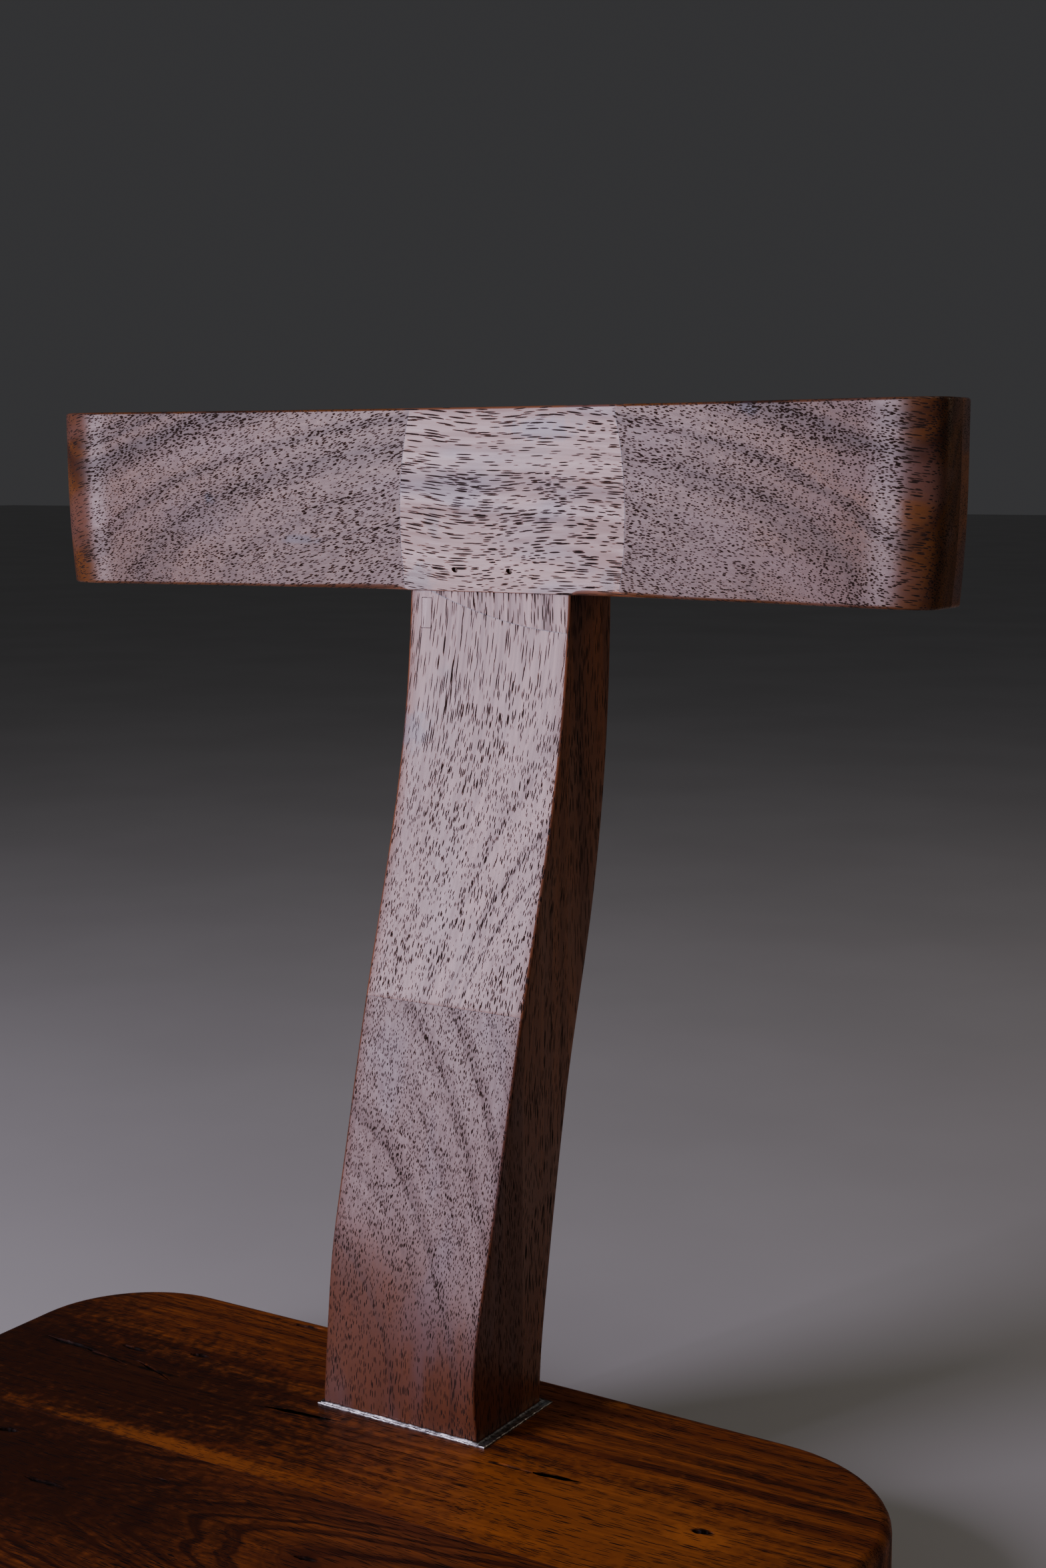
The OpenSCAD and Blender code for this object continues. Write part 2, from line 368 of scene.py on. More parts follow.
def brad_holes():
    """A slightly oval hole in front of each brad."""
    bm = bmesh.new()
    oval = Matrix.Rotation(math.radians(90), 4, "X") @ Matrix.Diagonal((*HOLE_RADII, 1, 1))
    tilted = Matrix.Rotation(math.radians(HOLE_TILT), 4, "Y") @ oval
    for x in (BRADS_LOW.x + BRAD_R, BRADS_HIGH.x - BRAD_R):
        z = (BRADS_LOW.z + BRADS_HIGH.z) / 2
        place = Matrix.Translation((x, BRADS_LOW.y + HOLE_OVERLAP - HOLE_LENGTH / 2, z)) @ tilted
        bmesh.ops.create_cone(
            bm, cap_ends=True, segments=HOLE_STEPS, radius1=1, radius2=1, depth=HOLE_LENGTH,
            matrix=place,
        )
    return bm


# ---- Post ----

POST_CORNER_STEPS, POST_ALONG, POST_ACROSS, POST_SIDE_STEPS = 5, 14, 8, 120
# The front face's twist: its depth, its height above the board, its spread, and where it begins
TWIST, TWIST_UP, TWIST_SPREAD, TWIST_START = 2.6, 36, 30, 14
# The front face's bow: its depth, and the heights above the board over which it grows
BOW, BOW_GROWS = 0.4, (180, 330)


def post_faces(z):
    """Half the width, and the y of the front and rear faces, at a height."""
    share = (z - BOARD_TOP) / POST_H
    half = (POST_W + (POST_TOP_W - POST_W) * max(0, share)) / 2
    front = FOOT_Y + FRONT_LEAN * face_curve(FRONT_CURVE, share)
    rear = FOOT_Y + POST_D + REAR_LEAN * face_curve(REAR_CURVE, share)
    return half, front, rear


def post_twist(z):
    """How far the front face turns near the foot: forward on the right, back on the left."""
    up = z - BOARD_TOP
    bell = math.exp(-((up - TWIST_UP) / TWIST_SPREAD) ** 2)
    return -TWIST * bell * smooth(0, TWIST_START, up)


def post_bow(z):
    """How far the front face bows forward at its right edge, near the top."""
    return -BOW * smooth(*BOW_GROWS, z - BOARD_TOP)


def post_plan(z):
    """The post's plan at a height, anticlockwise from the left end of the front face."""
    half, front, rear = post_faces(z)
    twist, bow = post_twist(z), post_bow(z)
    r = POST_ARRIS

    def row(y, into):
        left = [(-half + r * (1 - math.sin(a)), y + into * r * (1 - math.cos(a)))
                for a in reversed([math.radians(d) for d in spread(0, 90, POST_CORNER_STEPS)])]
        flat = [(x, y) for x in spread(-half + r, half - r, POST_ALONG)[1:-1]]
        right = [(-x, v) for x, v in reversed(left)]
        return left + flat + right

    front_row = [Vector((x, y + twist * x / half + bow * max(0, x / half) ** 2))
                 for x, y in row(front, 1)]
    rear_row = [Vector(p) for p in reversed(row(rear, -1))]
    return close_plan(front_row, rear_row, POST_ACROSS)


def make_post():
    """The whole post with its foot, before its glue lines divide it."""
    rings = rounded_levels(
        post_plan, FOOT_BOTTOM, POST_TOP,
        lambda p: FOOT_ARRIS, lambda p: POST_TOP_ARRIS, POST_SIDE_STEPS,
    )
    along = 2 * POST_CORNER_STEPS + POST_ALONG
    return new_object("post", loft(rings, along, POST_ACROSS))


def patch_block(margin):
    """The room of the inlaid patch, with a margin on every side but the front."""
    top = POST_TOP - PATCH_DROP
    return block(
        (PATCH_LEFT - margin, FOOT_Y, top - PATCH_H - margin),
        (PATCH_LEFT + PATCH_W + margin, CREST_Y + PATCH_DEPTH + margin, top + margin),
    )


# ---- Board ----

BOARD_CORNER_STEPS, BOARD_ALONG, BOARD_ACROSS, BOARD_SIDE_STEPS = 16, 60, 40, 8
# How far the rear edge falls away, and from where to where along it
EDGE_FALL, EDGE_FALL_ALONG = 2.6, (20, 190)


def board_plan(z):
    """A rectangle with round corners, whose rear edge falls away slightly to the right."""
    half_x, rear_y, front_y = REAR_PLANK_HIGH.x, REAR_PLANK_HIGH.y, FRONT_PLANK_LOW.y

    def row(edge_y, into):
        def corner(side, r):
            turns = [math.radians(a) for a in spread(0, 90, BOARD_CORNER_STEPS)]
            return [(side * (half_x - r * (1 - math.sin(a))), edge_y + into * r * (1 - math.cos(a)))
                    for a in turns]

        left = corner(-1, LEFT_CORNER_R)[::-1]
        right = corner(1, RIGHT_CORNER_R)
        flat = [(x, edge_y) for x in spread(left[-1][0], right[0][0], BOARD_ALONG)[1:-1]]
        return left + flat + right

    front = [Vector(p) for p in row(front_y, 1)]
    rear = [Vector((x, y - EDGE_FALL * smooth(*EDGE_FALL_ALONG, x)))
            for x, y in reversed(row(rear_y, -1))]
    return close_plan(front, rear, BOARD_ACROSS)


def make_board():
    """The whole board, before its glue lines divide it."""
    rings = rounded_levels(
        board_plan, REAR_PLANK_LOW.z, BOARD_TOP,
        lambda p: BOARD_LOW_ARRIS, lambda p: BOARD_ARRIS, BOARD_SIDE_STEPS,
    )
    along = 2 * BOARD_CORNER_STEPS + BOARD_ALONG
    return new_object("board", loft(rings, along, BOARD_ACROSS))


# Open checks in the board's top: start, end, greatest width and depth
REAR_CHECKS = (
    ((-211, 113.5), (-172, 110.5), 3.4, 3.0), ((-182, 111.5), (-150, 106), 1.8, 2.0),
    ((-170, 124), (-153, 123.5), 3.0, 2.5), ((-151, 113), (-119, 102.5), 2.0, 2.5),
    ((-134, 133), (-122.5, 135), 3.2, 2.5), ((-64, 103.5), (-22, 108.5), 2.8, 3.0),
    ((52, 109), (82, 111), 2.0, 2.5), ((78, 110.5), (103, 113.8), 2.6, 2.5),
    ((-114, 190), (-96, 193), 2.6, 2.5), ((163, 99.5), (172.5, 102.5), 3.4, 2.0),
)
MIDDLE_CHECKS = (
    ((-107, -8.5), (-82, -8), 3.0, 3.0), ((-152, 21), (-141, 23), 3.6, 3.0),
    ((37, -4), (48.5, -2), 2.6, 2.5), ((-60, 20), (-48, 20.6), 1.3, 1.5),
)


CHECK_AROUND, CHECK_ALONG = 8, 22
# How full a check is along its length, and how ragged and bent its sides are
CHECK_SWELL, CHECK_RAGGED, CHECK_BEND = 0.8, 0.5, 0.9


def spindle(index, start, end, width, depth):
    """A thin ragged spindle along a check, sunk in the board's top."""
    bm = bmesh.new()
    start, end = Vector((*start, BOARD_TOP)), Vector((*end, BOARD_TOP))
    line = (end - start).normalized()
    beside = Vector((-line.y, line.x, 0))
    rings = []
    for t in spread(0, 1, CHECK_ALONG)[1:-1]:
        swell = math.sin(math.pi * t ** CHECK_SWELL) ** CHECK_SWELL
        ragged = noise.noise(Vector((t * 9, index * 3.7, 0.5)))
        bend = beside * (CHECK_BEND * noise.noise(Vector((t * 2.5, index * 5.1, 8.5))))
        at = start.lerp(end, t) + bend
        half = width / 2 * swell * (1 + CHECK_RAGGED * ragged)
        ring = []
        for a in spread(0, 2 * math.pi, CHECK_AROUND)[:-1]:
            drop = Vector((0, 0, depth * swell * math.sin(a)))
            ring.append(bm.verts.new(at + beside * (half * math.cos(a)) + drop))
        rings.append(ring)
    add_quads(bm, [[*ring, ring[0]] for ring in rings])
    for ring, tip in ((rings[0], start), (rings[-1], end)):
        point = bm.verts.new(tip)
        for a, b in zip(ring, [*ring[1:], ring[0]]):
            bm.faces.new((a, b, point))
    return bm


# ---- Liner ----

# The sleeve's section: distance out from the foot, share of the flange's reach, height
LINER_SECTION = (
    (SLEEVE_GAP, 0, 0.7), (SLEEVE_GAP + 0.05, 0, 1.05), (0.55, 0, 1.3), (0.85, 0, 1.3),
    (1.1, 0, 1.0), (SLEEVE, 0, 0.6), (SLEEVE, 0.12, 0.22), (SLEEVE, 0.26, 0.2),
    (SLEEVE, 0.42, 0.5), (SLEEVE, 0.62, 0.62), (SLEEVE, 0.84, 0.6), (SLEEVE, 0.93, 0.8),
    (SLEEVE, 1.0, 0.5), (SLEEVE, 1.0, 0.08), (SLEEVE, 0.93, 0.0), (SLEEVE, 0.05, 0.0),
)
# The flange's sides, anticlockwise from the front: the way out, its reach, and how much of
# the lip's height stands there
LINER_SIDES = (
    (Vector((0, -1)), 3.3, 0.7), (Vector((1, 0)), FLANGE_RIGHT, 0.5),
    (Vector((0, 1)), 1.9, 0.6), (Vector((-1, 0)), 1.0, 0.6),
)
# The lip is the section within one share of the reach, and the ragged edge is beyond the other
LIP_SHARE, EDGE_SHARE = 0.3, 0.6
# What stands higher than this above the board is creased
CREASED_UP = 0.3
CREASE, CREASE_PACE, FINE_CREASE_PACE, EDGE_PACE = 0.28, 0.34, 1.1, 0.45
LINER_STEP = 1.6


def foot_outline():
    """Points round the foot, each with the sides of the flange that it belongs to."""
    x, y0, y1 = POST_W / 2, FOOT_Y, FOOT_Y + POST_D
    corners = [Vector(c) for c in ((-x, y0), (x, y0), (x, y1), (-x, y1))]
    found = []
    for i, side in enumerate(LINER_SIDES):
        start, end = corners[i], corners[(i + 1) % 4]
        found.append((start, [LINER_SIDES[i - 1], side]))
        count = round((end - start).length / LINER_STEP)
        for t in spread(0, 1, count)[1:-1]:
            found.append((start.lerp(end, t), [side]))
    return found


def liner_point(point, sides, out, share, up):
    """One point of the creased sheet, beside a point of the foot's outline."""
    at = point.copy()
    for way, reach, lift in sides:
        at += way * (out + share * (reach - out))
        if share < LIP_SHARE and up > CREASED_UP:
            up = CREASED_UP + (up - CREASED_UP) * lift
    spot = Vector((at.x, at.y, 0))
    if up > CREASED_UP:
        up += CREASE * noise.noise(spot * CREASE_PACE)
        up += 0.5 * CREASE * noise.noise(spot * FINE_CREASE_PACE)
    if share > EDGE_SHARE:
        ragged = CREASE * noise.noise(spot * EDGE_PACE + Vector((0, 0, 7)))
        for way, _, _ in sides:
            at += way * ragged
    return at.x, at.y, BOARD_TOP + up


def make_liner():
    """A sleeve of thin sheet round the foot, with a folded lip and a creased flange."""
    bm = bmesh.new()
    bottom = FOOT_BOTTOM - BOARD_TOP
    section = [(SLEEVE_GAP, 0, bottom), *LINER_SECTION, (SLEEVE, 0, bottom)]
    loops = [[bm.verts.new(liner_point(point, sides, *row)) for row in section]
             for point, sides in foot_outline()]
    add_quads(bm, [[*loop, loop[0]] for loop in [*loops, loops[0]]])
    return new_object("liner", bm)


# ---- Materials ----

PORE = (0.016, 0.007, 0.004, 1)
DARK_PORE = (0.010, 0.003, 0.0012, 1)
BLUE_GREY = (0.105, 0.075, 0.090, 1)
BROWN_SMEAR = (0.09, 0.038, 0.018, 1)
INK = (0.03, 0.024, 0.036, 1)
# GOLD and RED_BROWN also serve as painted light and painted shade in broad blotches on the board.
GOLD = (0.44, 0.128, 0.018, 1)
# Black, painted as shade inside the board's checks
SHADE_BLACK = (0.006, 0.003, 0.002, 1)
RED_BROWN = (0.030, 0.008, 0.003, 1)
GLUE = (0.03, 0.028, 0.034, 1)
DARK_METAL, BRIGHT_METAL = (0.12, 0.117, 0.115, 1), (0.52, 0.51, 0.50, 1)
DARK_STEEL, RUST = (0.06, 0.045, 0.035, 1), (0.03, 0.015, 0.008, 1)
TO_MM = (1 / MM,) * 3
# Sizes of soft patterns in millimetres, along and across the grain
DRIFT_SIZE, WAVER_SIZE, STREAK_SIZE = (95, 42), (130, 26), (55, 1.6)
STAIN_SIZE, CROWD_SIZE, FIBRE_SIZE = (60, 22), (60, 14), (6, 0.35)
# Where the stain comes in, and its greatest share of the colour
STAIN_SPAN, STAIN_MOST = (0.48, 0.7), 0.75
# What rings, streaks and pores add to the roughness
RING_DULL, STREAK_DULL, PORE_DULL = 0.1, 0.08, 0.75
# Heights of the relief's parts, as shares of its depth in millimetres
FIBRE_RELIEF, STREAK_RELIEF, PORE_RELIEF, WOOD_DEPTH = 0.14, 0.25, -1.0, 0.2
SCRATCH_RELIEF, METAL_DEPTH = 0.3, 0.4
METAL_ROUGH, STEEL_ROUGH = (0.30, 0.52), (0.35, 0.65)
# A blotch: how ragged it is, the share of its radii that is full, and its grain per millimetre
BLOTCH_RAGGED, BLOTCH_CORE, BLOTCH_GRAIN = 1.3, 0.35, (0.22, 0.22, 0.22)
# Growth rings: where the fine ones turn from light to dark, and the shares that the listed
# rings and the fine ones add to the tone, less an offset
RING_CONTRAST = (0.34, 0.68)
HAND_SHARE, FINE_SHARE, TONE_OFFSET = 0.85, 0.28, 0.05
# Pores: their least radius and its spread as shares of the size, how they swell and shrink
# over wide zones, and the share of the radius at which a pore's edge begins
PORE_LEAST, PORE_SPREAD, PORE_ZONES, PORE_EDGE = 0.75, 0.45, (0.88, 1.08), 0.8
# Depths in millimetres between which the inside of a check turns black, as painted shade
SUNK_FROM, SUNK_TO = 0.3, 1.2
# Margins that keep that painted shade off the board's round arrises, and how square its limit is
SUNK_MARGIN_X, SUNK_MARGIN_Y, SUNK_SQUARE = 10, 7, 6.0


def node(tree, kind, inputs=None, output=0, **settings):
    """Adds a shader node. An input is a plain value or another node's output."""
    made = tree.nodes.new(kind)
    for name, value in settings.items():
        setattr(made, name, value)
    for key, value in (inputs or {}).items():
        if isinstance(value, bpy.types.NodeSocket):
            tree.links.new(value, made.inputs[key])
        else:
            made.inputs[key].default_value = value
    return made.outputs[output]


def calc(tree, operation, a, b=0.0, c=0.0):
    """Arithmetic on plain values."""
    return node(tree, "ShaderNodeMath", {0: a, 1: b, 2: c}, operation=operation)


def vector(tree, operation, a, b=(0, 0, 0), c=(0, 0, 0)):
    """Arithmetic on vectors."""
    return node(tree, "ShaderNodeVectorMath", {0: a, 1: b, 2: c}, operation=operation)


def measure(tree, operation, a, b=(0, 0, 0)):
    """A plain value from vectors: a length or a dot product."""
    inputs = {0: a, 1: b}
    return node(tree, "ShaderNodeVectorMath", inputs, output="Value", operation=operation)


def span(tree, value, low, high, to_low=0.0, to_high=1.0):
    """Maps a value from one span to another with a soft step."""
    inputs = {"Value": value, "From Min": low, "From Max": high, "To Min": to_low, "To Max": to_high}
    return node(tree, "ShaderNodeMapRange", inputs, interpolation_type="SMOOTHSTEP")


def blend(tree, factor, a, b):
    """Mixes two colours."""
    colour_a, colour_b, result = 6, 7, 2
    return node(
        tree, "ShaderNodeMix", {0: factor, colour_a: a, colour_b: b}, output=result,
        data_type="RGBA",
    )


def noise_at(tree, at, scale, detail=2.0, output="Fac"):
    """Soft noise with a size for each axis, as a share of a millimetre."""
    stretched = vector(tree, "MULTIPLY", at, scale)
    return node(
        tree, "ShaderNodeTexNoise", {"Vector": stretched, "Scale": 1.0, "Detail": detail}, output=output
    )


def bump(tree, relief, depth):
    """The normal of a relief with a depth in millimetres, at half strength."""
    inputs = {"Height": relief, "Strength": 0.5, "Distance": depth * MM}
    return node(tree, "ShaderNodeBump", inputs)


def grain_noise(tree, at, size, detail, output="Fac"):
    """Soft noise with a size along the grain and one across it, in millimetres."""
    along, across = size
    return noise_at(tree, at, (1 / along, 1 / across, 1 / across), detail, output)


def start_material(name):
    """A material with its shader, as tree and shader."""
    material = bpy.data.materials.new(name)
    material.use_nodes = True
    tree = material.node_tree
    return material, tree, tree.nodes["Principled BSDF"]


def wood_space(tree, here, grain, origin, wander):
    """Millimetres with X along the grain from an origin, and a slow wander."""
    along = Vector(grain).normalized()
    side = Vector((0, 0, 1)) if abs(along.z) < 0.8 else Vector((0, 1, 0))
    across = side.cross(along).normalized()
    turn = Matrix((along, across, along.cross(across)))
    straight = node(tree, "ShaderNodeMapping", {
        "Vector": here, "Location": -(turn @ Vector(origin)), "Rotation": turn.to_euler(),
        "Scale": TO_MM,
    })
    drift = grain_noise(tree, straight, DRIFT_SIZE, detail=1.0, output="Color")
    drift = vector(tree, "SUBTRACT", drift, (0.5, 0.5, 0.5))
    return vector(tree, "MULTIPLY_ADD", drift, (0, 2 * wander, 2 * wander), straight)


def ring_ramp(tree, away, rings):
    """The tone of the listed rings, given as radius and tone."""
    low, high = rings[0][0], rings[-1][0]
    ramp = tree.nodes.new("ShaderNodeValToRGB")
    stops = ramp.color_ramp.elements
    stops[0].position, stops[-1].position = 0.0, 1.0
    stops[0].color = (rings[0][1],) * 3 + (1,)
    stops[-1].color = (rings[-1][1],) * 3 + (1,)
    for radius, value in rings[1:-1]:
        stops.new((radius - low) / (high - low)).color = (value,) * 3 + (1,)
    share = calc(tree, "DIVIDE", calc(tree, "SUBTRACT", away, low), high - low)
    tree.links.new(share, ramp.inputs[0])
    return ramp.outputs[0]


def ring_tone(tree, at, ring, rings, wobble):
    """How dark the growth rings are round the X axis: 0 light, 1 dark. rings lists radii with
    tones, and ring is the width of the finer ones between them."""
    away = measure(tree, "LENGTH", vector(tree, "MULTIPLY", at, (0, 1, 1)))
    waver = grain_noise(tree, at, WAVER_SIZE, detail=2.0)
    away = calc(tree, "MULTIPLY_ADD", calc(tree, "SUBTRACT", waver, 0.5), wobble, away)
    fine = node(
        tree, "ShaderNodeTexNoise",
        {"W": calc(tree, "DIVIDE", away, ring), "Scale": 1.0, "Detail": 4.0, "Roughness": 0.62},
        noise_dimensions="1D",
    )
    tone = span(tree, fine, *RING_CONTRAST)
    if not rings:
        return tone
    by_hand = ring_ramp(tree, away, rings)
    fine_part = calc(tree, "MULTIPLY", tone, FINE_SHARE)
    mixed = calc(tree, "MULTIPLY_ADD", by_hand, HAND_SHARE, fine_part)
    return node(tree, "ShaderNodeClamp", {0: calc(tree, "SUBTRACT", mixed, TONE_OFFSET)})


def pore_field(tree, fibre, gap, length, size, tone, crowding):
    """Vessels as long thin ellipsoids along the grain: 1 inside a pore, 0 outside. Crowding is
    how much they swell on dark rings and shrink between them."""
    cells = vector(tree, "MULTIPLY", fibre, (1 / length, 1 / gap, 1 / gap))
    voronoi = tree.nodes.new("ShaderNodeTexVoronoi")
    tree.links.new(cells, voronoi.inputs["Vector"])
    voronoi.inputs["Scale"].default_value = 1.0
    chance = node(tree, "ShaderNodeSeparateColor", {"Color": voronoi.outputs["Color"]})
    crowd = grain_noise(tree, fibre, CROWD_SIZE, detail=1.0)
    radius = calc(tree, "MULTIPLY_ADD", chance, PORE_SPREAD * size, PORE_LEAST * size)
    radius = calc(tree, "MULTIPLY", radius, span(tree, crowd, 0.3, 0.65, *PORE_ZONES))
    swell = span(tree, tone, 0, 1, 1 - 0.3 * crowding, 1 + crowding)
    radius = calc(tree, "MULTIPLY", radius, swell)
    inner = calc(tree, "MULTIPLY", radius, PORE_EDGE)
    return span(tree, voronoi.outputs["Distance"], inner, radius, 1.0, 0.0)


def glue_lines(tree, here, planes):
    """1 on the glue planes, given as point and normal in millimetres with half the line's
    thickness, and 0 off them."""
    found = 0.0
    for point, normal, half in planes:
        normal = Vector(normal).normalized()
        facing = measure(tree, "DOT_PRODUCT", here, normal / MM)
        off = calc(tree, "ABSOLUTE", calc(tree, "SUBTRACT", facing, Vector(point).dot(normal)))
        found = calc(tree, "MAXIMUM", found, span(tree, off, 0.3 * half, half, 1.0, 0.0))
    return found


def blotch(tree, here, centre, radii):
    """A soft ragged spot: 1 in the middle, 0 outside."""
    shape = vector(tree, "SUBTRACT", vector(tree, "MULTIPLY", here, TO_MM), centre)
    ragged = noise_at(tree, shape, BLOTCH_GRAIN, detail=3.0)
    away = measure(tree, "LENGTH", vector(tree, "DIVIDE", shape, radii))
    ragged = calc(tree, "SUBTRACT", ragged, 0.5)
    away = calc(tree, "MULTIPLY_ADD", ragged, BLOTCH_RAGGED, away)
    return span(tree, away, BLOTCH_CORE, 1.0, 1.0, 0.0)


def sunk(tree, here, top, reach_x, reach_y):
    """1 just below a level top, away from its edges, and 0 elsewhere: the inside of checks, which is
    painted black as shade.
    """
    place = tree.nodes.new("ShaderNodeSeparateXYZ")
    tree.links.new(here, place.inputs[0])
    x, y, z = place.outputs
    below = span(tree, z, (top - SUNK_TO) * MM, (top - SUNK_FROM) * MM, 1.0, 0.0)
    out = 0.0
    for value, reach in ((x, reach_x), (y, reach_y)):
        share = calc(tree, "ABSOLUTE", calc(tree, "DIVIDE", value, reach * MM))
        out = calc(tree, "ADD", out, calc(tree, "POWER", share, SUNK_SQUARE))
    return calc(tree, "MULTIPLY", below, span(tree, out, 0.85, 1.0, 1.0, 0.0))


def wood_relief(tree, fibre, streak, pores):
    """Fine fibres and soft streaks, with the pores sunk between them, as a bumped normal."""
    fine = grain_noise(tree, fibre, FIBRE_SIZE, detail=2.0)
    relief = calc(tree, "MULTIPLY", pores, PORE_RELIEF)
    relief = calc(tree, "MULTIPLY_ADD", fine, FIBRE_RELIEF, relief)
    relief = calc(tree, "MULTIPLY_ADD", streak, STREAK_RELIEF, relief)
    return bump(tree, relief, WOOD_DEPTH)


def wood(name, grain, pith, ring, light, dark, stain, pore, axis=None, rings=(), wobble=8,
         gap=1.05, length=22, size=0.27, wander=3, streaks=0.4, crowding=0.25, planes=(),
         marks=(), rough=0.22, shine=0.5, checked=False):
    """Lacquered open-pored wood. The pores run along the grain, and the growth rings lie round
    the pith, along the axis. marks are blotches: centre, radii, colour and strength."""
    material, tree, shader = start_material(name)
    here = node(tree, "ShaderNodeTexCoord", output="Object")
    fibre = wood_space(tree, here, grain, pith, wander)
    tone = ring_tone(tree, wood_space(tree, here, axis or grain, pith, 0), ring, rings, wobble)
    streak = grain_noise(tree, fibre, STREAK_SIZE, detail=3.0)
    patchy = grain_noise(tree, fibre, STAIN_SIZE, detail=2.0)
    pores = pore_field(tree, fibre, gap, length, size, tone, crowding)

    colour = blend(tree, tone, light, dark)
    colour = blend(tree, span(tree, streak, 0.3, 0.7, 0.0, streaks), colour, dark)
    colour = blend(tree, span(tree, patchy, *STAIN_SPAN, 0.0, STAIN_MOST), colour, stain)
    for centre, radii, paint, strength in marks:
        spot = calc(tree, "MULTIPLY", blotch(tree, here, centre, radii), strength)
        colour = blend(tree, spot, colour, paint)
    colour = blend(tree, pores, colour, pore)
    if planes:
        speckle = span(tree, noise_at(tree, fibre, (0.3, 1.2, 1.2)), 0.35, 0.6, 0.25, 0.85)
        line = calc(tree, "MULTIPLY", glue_lines(tree, here, planes), speckle)
        colour = blend(tree, line, colour, GLUE)
    # Painted shade: black inside the open checks.
    if checked:
        reach_x, reach_y = REAR_PLANK_HIGH.x - SUNK_MARGIN_X, REAR_PLANK_HIGH.y - SUNK_MARGIN_Y
        colour = blend(tree, sunk(tree, here, BOARD_TOP, reach_x, reach_y), colour, SHADE_BLACK)
    normal = wood_relief(tree, fibre, streak, pores)
    dull = span(tree, streak, 0.2, 0.8, rough, rough + STREAK_DULL)
    dull = calc(tree, "MULTIPLY_ADD", tone, RING_DULL, dull)
    dull = calc(tree, "MULTIPLY_ADD", pores, PORE_DULL, dull)
    tree.links.new(colour, shader.inputs["Base Color"])
    tree.links.new(dull, shader.inputs["Roughness"])
    tree.links.new(normal, shader.inputs["Normal"])
    shader.inputs["Specular IOR Level"].default_value = shine
    return material


def sheet_metal():
    """Thin bright sheet, creased and rubbed by hand."""
    material, tree, shader = start_material("sheet_metal")
    here = node(tree, "ShaderNodeTexCoord", output="Object")
    at = vector(tree, "MULTIPLY", here, TO_MM)
    creases = noise_at(tree, at, (0.55, 0.55, 0.55), detail=4.0)
    scratches = noise_at(tree, at, (0.2, 3.0, 3.0), detail=2.0)
    relief = calc(tree, "MULTIPLY_ADD", scratches, SCRATCH_RELIEF, creases)
    normal = bump(tree, relief, METAL_DEPTH)
    colour = blend(tree, span(tree, creases, 0.3, 0.7), DARK_METAL, BRIGHT_METAL)
    tree.links.new(colour, shader.inputs["Base Color"])
    tree.links.new(span(tree, scratches, 0.3, 0.7, *METAL_ROUGH), shader.inputs["Roughness"])
    tree.links.new(normal, shader.inputs["Normal"])
    shader.inputs["Metallic"].default_value = 1.0
    return material


def dull_steel():
    """The brads: dull steel with a little brown on it."""
    material, tree, shader = start_material("dull_steel")
    here = node(tree, "ShaderNodeTexCoord", output="Object")
    spots = noise_at(tree, here, (900, 900, 900), detail=3.0)
    colour = blend(tree, span(tree, spots, 0.4, 0.65), DARK_STEEL, RUST)
    tree.links.new(colour, shader.inputs["Base Color"])
    tree.links.new(span(tree, spots, 0.3, 0.7, *STEEL_ROUGH), shader.inputs["Roughness"])
    shader.inputs["Metallic"].default_value = 0.8
    return material


# ---- The plies and planks, and how each is cut from its tree ----

# Glue lines: a point, the direction across towards the rear, and half the line's thickness
REARWARD = Vector((0, 1, 0))
CREST_GLUE = ((0, CREST_GLUE_Y, 0), skewed(CREST_GLUE_SKEW), 0.022)
REAR_GLUE = ((0, REAR_GLUE_Y, 0), skewed(POST_GLUE_SKEW), 0.03)
FRONT_GLUE = ((0, FRONT_GLUE_Y, 0), REARWARD, 0.06)
BOARD_GLUE = ((0, REAR_PLANK_LOW.y, 0), REARWARD, 0.12)


# The painted shade along a check: its half sizes as shares of the length, width and depth, and strength
CHECK_SHADE, CHECK_SHADE_STRENGTH = (0.62, 0.9, 2), 0.95


def check_shade_marks(checks):
    """Painted shade: a black blotch along each open check, as marks for wood."""
    shades = []
    for start, end, width, depth in checks:
        middle = [(a + b) / 2 for a, b in zip(start, end)]
        sizes = (math.dist(start, end), width, depth)
        radii = tuple(share * size for share, size in zip(CHECK_SHADE, sizes))
        shades.append(((*middle, BOARD_TOP), radii, SHADE_BLACK, CHECK_SHADE_STRENGTH))
    return shades


# The wings are cut from one plank, so that their rings share a pith behind the crest
WING_PITH = (0, 350, 400)
WING_RINGS = (
    (148, 0.5), (154, 0.25), (158, 0.5), (162, 0.3), (166, 0.45), (170, 0.3), (174, 0.6),
    (178, 0.4), (181, 0.5), (184.5, 0.15), (187, 0.0), (189.5, 0.75), (193, 0.85), (196, 0.5),
    (199, 0.75), (203, 0.5), (208, 0.7), (213, 0.35), (219, 0.5),
)
FRONT_PLY_RINGS = (
    (130, 0.2), (136, 0.25), (138.2, 0.1), (138.7, 0.8), (139.3, 0.4), (141, 0.1), (147.2, 0.1),
    (147.7, 0.7), (148.3, 0.35), (150, 0.15), (153, 0.15), (153.5, 1.0), (154.2, 0.5),
    (156.5, 0.15), (162, 0.12), (162.5, 0.75), (163.2, 0.4), (165, 0.12), (169.7, 0.12),
    (170.2, 0.75), (170.9, 0.4), (173, 0.1), (177, 0.1), (177.5, 0.95), (178.2, 0.55),
    (181, 0.15), (184.6, 0.12), (185, 0.7), (186, 0.35), (190, 0.2),
)
MIDDLE_PLY_RINGS = (
    (60, 0.2), (68, 0.3), (76.6, 0.1), (77, 0.9), (77.6, 0.35), (79, 0.1), (81.9, 0.1),
    (82.3, 0.85), (82.9, 0.35), (84.5, 0.1), (90.6, 0.1), (91, 0.6), (91.6, 0.25), (95, 0.1),
    (104, 0.15), (108, 0.3), (112, 0.1), (124, 0.3), (132, 0.1),
)

